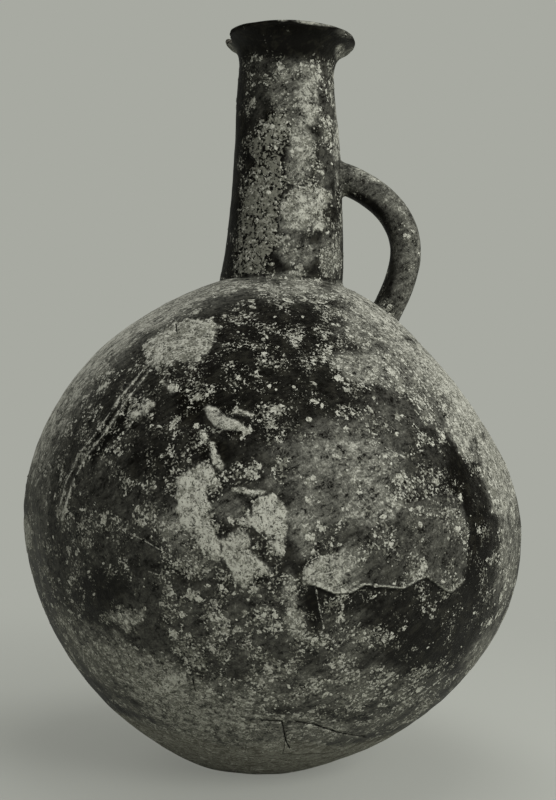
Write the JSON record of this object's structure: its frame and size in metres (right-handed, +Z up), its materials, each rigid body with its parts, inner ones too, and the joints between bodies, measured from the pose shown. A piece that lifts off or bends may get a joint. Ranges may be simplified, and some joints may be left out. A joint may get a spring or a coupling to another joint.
{
  "type": "round-bodied jug",
  "caption": "Round-bodied handmade jug with a tall narrow neck, flared mouth and one roll handle, for holding and pouring liquid.",
  "frame": {"origin": "centre of the small flat base that the jug stands on", "axes": "+Z up through the mouth, +X towards the handle, -Y is the front"},
  "size_m": [0.3411, 0.341, 0.5014],
  "materials": {
    "burnished_slip": "black slip burnished by hand, low sheen, with flecks and patches of pale lime crust",
    "limed_slip": "black slip mostly covered by a matt, crumbly, pale grey lime crust",
    "worn_clay": "slip worn down to the matt grey clay, finely speckled, with hairline cracks"
  },
  "bodies": {
    "root": {"base_bowl": "worn_clay", "base_sherd": "worn_clay", "lower_wall": "burnished_slip", "upper_wall": "burnished_slip", "shoulder_wall": "burnished_slip", "neck_collar": "limed_slip", "neck": "limed_slip", "mouth_rim": "burnished_slip", "handle": "burnished_slip", "upper_handle_luting": "limed_slip", "lower_handle_luting": "burnished_slip"}
  },
  "joints": []
}
